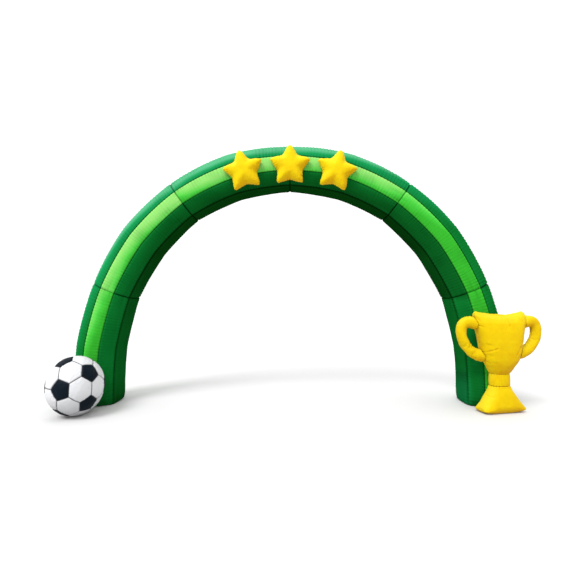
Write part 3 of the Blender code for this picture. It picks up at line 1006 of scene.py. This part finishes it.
def ball_fans():
    """The ball's 32 flat panels, each a fan of triangles round its middle."""
    golden = (1.0 + math.sqrt(5.0)) / 2.0
    tips = []
    for a in (-1.0, 1.0):
        for b in (-golden, golden):
            tips += [Vector((0, a, b)).normalized(), Vector((a, b, 0)).normalized(),
                     Vector((b, 0, a)).normalized()]
    reach = 1.1
    pairs = {(i, j) for i in range(12) for j in range(12)
             if i != j and (tips[i] - tips[j]).length < reach}
    trios = [(tips[i], tips[j], tips[k]) for i, j in sorted(pairs) for k in range(12)
             if i < j < k and (i, k) in pairs and (j, k) in pairs]
    panels = []
    for tip in tips:
        near = [other for other in tips if 0.01 < (tip - other).length < reach]
        panels.append((tip, [tip.lerp(other, 1.0 / 3.0) for other in near], 1.0))
    for trio in trios:
        corners = [p.lerp(q, 1.0 / 3.0) for p in trio for q in trio if p is not q]
        panels.append((sum(trio, Vector()) / 3.0, corners, 0.0))
    fans = bmesh.new()
    inset = fans.verts.layers.float.new("inset")
    black = fans.faces.layers.float.new("black")
    made = {}
    for middle, corners, dark in panels:
        axis = middle.normalized()
        side = (corners[0] - axis * corners[0].dot(axis)).normalized()
        up = axis.cross(side)
        corners.sort(key=lambda p: math.atan2(p.dot(up), p.dot(side)))
        centre = fans.verts.new(axis * corners[0].dot(axis))
        centre[inset] = ((corners[0] + corners[1]) / 2.0 - centre.co).length * BALL_RADIUS
        rim = []
        for corner in corners:
            key = tuple(round(value, 4) for value in corner)
            if key not in made:
                made[key] = fans.verts.new(corner)
            rim.append(made[key])
        for i, first in enumerate(rim):
            face = fans.faces.new((centre, first, rim[(i + 1) % len(rim)]))
            face[black] = dark
    mesh = bpy.data.meshes.new("ball_fans")
    fans.to_mesh(mesh)
    fans.free()
    return new_object("ball_fans", mesh)


def build_ball(cloth):
    """One filled ball: crowned panels, sewn-in seams and a few soft wrinkles."""
    tree = GeometryTree("panelled_ball", (
        ("Panels", "Object"), ("Cloth", "Material"), ("Radius", "Float"), ("Turn", "Vector"),
        ("Middle", "Vector"), ("Back", "Float"), ("Seam Depth", "Float")))
    fine = tree.get("GeometryNodeSubdivideMesh", None, {
        "Mesh": tree.shape_of("Panels"), "Level": BALL_SUBDIVISIONS})
    inset = tree.get("GeometryNodeInputNamedAttribute", {"data_type": "FLOAT"}, {"Name": "inset"})
    direction = tree.vector("NORMALIZE", tree.get("GeometryNodeInputPosition"))
    spot = tree.scaled(direction, 9.0)
    wrinkle = (tree.noise(spot, 1.1, 2.0) - 0.5) * BALL_WRINKLE
    gather = (tree.noise(spot, 2.6, 1.0) - 0.5) * (-inset / BALL_GATHER_REACH).exp()
    crown = (inset / BALL_CROWN_REACH).least(1.0).sin()
    groove = on_line(inset, BALL_SEAM_WIDTH) * tree["Seam Depth"]
    lift = wrinkle + gather * BALL_GATHER
    radius = tree["Radius"] + (crown - 0.84) * BALL_CROWN + lift - groove
    vector = tree.node("ShaderNodeVectorRotate", {"rotation_type": "EULER_XYZ"},
                       {"Vector": direction, "Rotation": tree["Turn"]})
    stretched = tree.vector("ADD", Value(tree, vector.outputs[0]), (0.0, BALL_FRONT_STRETCH, 0.0))
    point = tree.scaled(tree.vector("NORMALIZE", stretched), radius)
    x, y, z = tree.parts(point)
    placed = tree.vector("ADD", tree.combine(x * BALL_WIDTH, y, z), tree["Middle"])
    x, y, z = tree.parts(placed)
    placed = tree.combine(x, y.least(tree["Back"]), z.most(GROUND_CLEARANCE))
    shape = tree.marked(fine, (("near_seam", inset), ("lift", lift)))
    shape = tree.get("GeometryNodeSetPosition", None, {"Geometry": shape, "Position": placed})
    tree.end(shape, tree["Cloth"])
    low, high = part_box("ball")
    fans_object = ball_fans()
    piece = tree.run("football", {
        "Panels": fans_object, "Cloth": cloth, "Radius": BALL_RADIUS,
        "Turn": [math.radians(angle) for angle in BALL_TURN_DEG],
        "Middle": ((low.x + high.x) / 2.0, high.y - BALL_RADIUS + BALL_PRESSED_FLAT,
                   BALL_RADIUS - BALL_FOOT_FLAT),
        "Back": high.y, "Seam Depth": BALL_SEAM_DEPTH})
    bpy.data.objects.remove(fans_object)
    face_outwards(piece.data)
    soften(piece.data)
    finish_soft(piece, "ball")


def new_material(name):
    """A material with its node tree and its shader."""
    material = bpy.data.materials.new(name)
    material.use_nodes = True
    return material, Tree(material.node_tree), material.node_tree.nodes["Principled BSDF"]


def woven(tree, shader, crumple, first, second):
    """Gives a cloth its small creases, and a weave along two of its directions."""
    turns = 2.0 * math.pi / THREAD_PITCH
    weave = (first * turns).sin() * (second * turns).sin()
    bump = tree.get("ShaderNodeBump", None, {
        "Strength": 0.5, "Distance": 1.0, "Height": crumple + weave * THREAD_HEIGHT})
    tree.feed(shader.inputs["Normal"], bump)


def ball_material():
    """Coated white and black cloth with dark seams."""
    material, tree, shader = new_material("ball_panels")
    spot = tree.get("ShaderNodeTexCoord", None, None, "Object")
    uneven = tree.noise(spot, 9.0, 3.0)
    x, _, z = tree.parts(spot)
    white = tree.mix(uneven, *BALL_WHITES)
    # Painted shade towards the ground
    white = tree.mix(ramp(z, *BALL_GROUNDED_FROM), white, BALL_GROUNDED)
    dark = tree.mix(uneven, *BALL_BLACKS)
    needle = on_line(tree.mark("near_seam"), BALL_NEEDLE_WIDTH) * 0.95
    panels = tree.mix(tree.mark("black"), white, dark)
    tree.feed(shader.inputs["Base Color"], tree.mix(needle, panels, BALL_THREAD))
    tree.feed(shader.inputs["Roughness"], 0.42 + uneven * 0.12)
    shader.inputs["Specular IOR Level"].default_value = 0.05
    woven(tree, shader, tree.noise(spot, 30.0, 3.0) * 0.0012, x, z)
    return material


def yellow_material(name, bright, amber, lit):
    """Yellow cloth with painted amber shade in its folds, along its seams and where it looks down or
    to the right, and a painted highlight where it looks up and to the left.
    """
    material, tree, shader = new_material(name)
    spot = tree.get("ShaderNodeTexCoord", None, None, "Object")
    x, _, z = tree.parts(spot)
    uneven = tree.noise(spot, 6.0, 3.0)
    mottled = tree.noise(spot, 22.0, 2.0)
    upward = tree.mark("upward")
    rightward = tree.mark("rightward")
    # Painted amber shade in the folds' dips, along the seams and where the cloth looks down or to
    # the right
    valley = (tree.mark("lift") * -YELLOW_VALLEY_SHADE).clamped()
    needle = on_line(tree.mark("near_seam"), YELLOW_NEEDLE_WIDTH) * 0.6
    shade = valley * 0.6 + (uneven - 0.42) * 0.9 + (mottled - 0.5) * 0.6 + needle
    shade = shade + ramp(rightward * 0.85 - upward, 0.0, 0.9) * 0.75
    # Painted highlight where the cloth looks up and to the left
    pale = ramp(upward - rightward * 0.5, 0.30, 1.15) * 0.8
    base = tree.mix(shade.clamped(), bright, amber)
    base = tree.mix(pale, base, lit)
    tree.feed(shader.inputs["Base Color"], base)
    tree.feed(shader.inputs["Roughness"], 0.45 + uneven * 0.15)
    shader.inputs["Specular IOR Level"].default_value = 0.03
    shader.inputs["Sheen Weight"].default_value = 0.22
    shader.inputs["Sheen Roughness"].default_value = 0.35
    shader.inputs["Sheen Tint"].default_value = YELLOW_SHEEN
    woven(tree, shader, tree.noise(spot, 26.0, 4.0, 0.6) * 0.0022, x, z)
    return material


def green_cloth(name, shades, when):
    """Coated polyester, with a painted highlight on the side that looks at the sun and painted shade
    below.
    """
    material, tree, shader = new_material(name)
    weft = tree.mark("weft", "Vector")
    near = tree.mark("near_seam")
    lift = tree.mark("lift")
    grounded = tree.mark("grounded")
    underside = tree.mark("underside")
    uneven = tree.noise(weft, 3.0, 3.0) - 0.5
    above_ground = tree.parts(tree.get("ShaderNodeTexCoord", None, None, "Object"))[2]
    # Painted sunlight on the legs: between these heights the painted shade of the right leg's inner
    # band gives way
    legs = ramp(above_ground, *LEG_TOP)
    sunny = legs * ramp(above_ground, *LEG_FOOT).most(ramp(underside, 0.9, 0.6))
    # Painted light, painted highlight and painted shade, from how each place looks to the sun and
    # whether it lies underneath
    lit, faded, shaded = when(
        tree.mark("upward") + uneven * 0.10, tree.mark("skyward") + uneven * 0.16,
        underside, tree.mark("rightward") * (1.0 - sunny))
    # Painted shade near the ground
    shaded = (shaded + grounded * 0.55).least(1.0)
    # Painted shade in the dips of the puckers and painted highlight on their ridges
    valley = (lift * -VALLEY_SHADE).clamped() * 0.65
    ridge = (lift * VALLEY_SHADE).clamped() * 0.22
    end_width, end_dark = shades["end_seam"]
    # Dark seam lines: thread and painted shade of the seam's groove, less dark near the ground,
    # under the painted highlight and on the legs; cross seams less dark where painted light falls
    needle = on_line(near, NEEDLE_WIDTH)
    needle = needle * (0.88 - grounded * 0.35 - faded * 0.35 - legs * 0.30)
    across = on_line(tree.mark("near_end"), end_width) * (1.0 - lit * 0.4) * end_dark
    # Painted highlight on the paler edge beside each seam
    rim = on_line(near - EDGE_FROM_SEAM, EDGE_WIDTH) * 0.30
    dye_and_painted_light = tree.mix(shaded, shades["middle"], shades["deep"])
    dye_and_painted_light = tree.mix(lit, dye_and_painted_light, shades["lit"])
    dye_and_painted_light = tree.mix(faded, dye_and_painted_light, shades["faded"])
    dye_and_painted_light = tree.mix(ridge.most(rim), dye_and_painted_light, tree.vector("MULTIPLY", dye_and_painted_light, RIDGE_TINT))
    dye_and_painted_light = tree.mix(valley, dye_and_painted_light, tree.vector("MULTIPLY", dye_and_painted_light, VALLEY_TINT))
    dye_and_painted_light = tree.mix(needle.most(across), dye_and_painted_light, shades["seam"])
    tree.feed(shader.inputs["Base Color"], dye_and_painted_light)
    tree.feed(shader.inputs["Roughness"], 0.50 + uneven * 0.12)
    shader.inputs["Specular IOR Level"].default_value = 0.0
    lengthways, sideways, _ = tree.parts(weft)
    woven(tree, shader, tree.noise(weft, 22.0, 4.0, 0.6) * 0.0018, lengthways, sideways)
    return material


def dark_when(upward, skyward, underside, rightward):
    """Where the dark green gets painted light, a painted highlight and painted shade."""
    below = ramp(-upward, 0.30, 0.95)
    panel = ramp(underside, 0.6, 0.9)
    shaded = panel * (0.38 + below * 0.30) + below * (0.85 - panel * 0.35)
    shaded = shaded + ramp(underside, 0.1, 0.4) * ramp(rightward, 0.2, 0.7) * 0.5
    return ramp(upward, 0.20, 0.47), ramp(upward, 0.46, 0.62), shaded.least(1.0)


def light_when(upward, skyward, underside, rightward):
    """Where the light green gets painted light, a painted highlight and painted shade."""
    looks = skyward + upward * 1.15
    faded = ramp(looks, 0.56, 0.95)
    return faded * 0.3, faded, ramp(looks, 0.62, 0.40)


def build_stage():
    """A wide pale floor, a sky that is brighter overhead and one soft sun on the left."""
    paint, _, shader = new_material("pale_floor")
    shader.inputs["Base Color"].default_value = (*FLOOR_PAINT, 1.0)
    shader.inputs["Roughness"].default_value = 0.9
    bpy.ops.mesh.primitive_circle_add(vertices=96, radius=FLOOR_RADIUS, fill_type="NGON")
    floor = bpy.context.active_object
    floor.name = "floor"
    floor.location.z = -FLOOR_BELOW
    floor.data.materials.append(paint)

    world = bpy.data.worlds.new("pale_sky")
    bpy.context.scene.world = world
    world.use_nodes = True
    tree = Tree(world.node_tree)
    background = world.node_tree.nodes["Background"]
    height = tree.parts(tree.get("ShaderNodeTexCoord", None, None, "Generated"))[2]
    strength = SKY_STRENGTH + height.most(0.0) * SKY_OVERHEAD
    tree.feed(background.inputs["Strength"], strength)
    background.inputs["Color"].default_value = (1.0, 1.0, 1.0, 1.0)

    lamp = bpy.data.lights.new("soft_key", "SUN")
    lamp.energy = SUN_STRENGTH
    lamp.angle = math.radians(SUN_SPREAD_DEG)
    key = new_object("soft_key", lamp)
    key.rotation_euler = Vector(SUN_TOWARDS).to_track_quat("-Z", "Y").to_euler()


def build_camera():
    """A hand-held wide lens at a standing person's eye height, in front of the arch."""
    camera = bpy.data.cameras.new("camera")
    camera.sensor_width = SENSOR_MM
    camera.lens = LENS_MM
    camera.clip_end = VIEW_REACH
    eye = new_object("camera", camera)
    eye.location = (ARCH_X + EYE[0], ARCH_Y + EYE[1], EYE[2])
    eye.rotation_euler = (math.pi / 2.0 + EYE_TILT, 0.0, EYE_TURN)
    bpy.context.scene.camera = eye


def main():
    cloths = {
        "dark_green_cloth": green_cloth("dark_green", DARK_GREENS, dark_when),
        "light_green_cloth": green_cloth("light_green", LIGHT_GREENS, light_when),
    }
    line, length = middle_line()
    build_tube(line, length, cloths)
    bpy.data.objects.remove(line)
    sewing = sewing_tree()
    build_stars(sewing, yellow_material("star_yellow", *STAR_YELLOWS))
    build_trophy(sewing, yellow_material("trophy_yellow", *TROPHY_YELLOWS))
    build_ball(ball_material())
    build_stage()
    build_camera()
    bpy.context.scene.view_settings.view_transform = "Standard"


main()
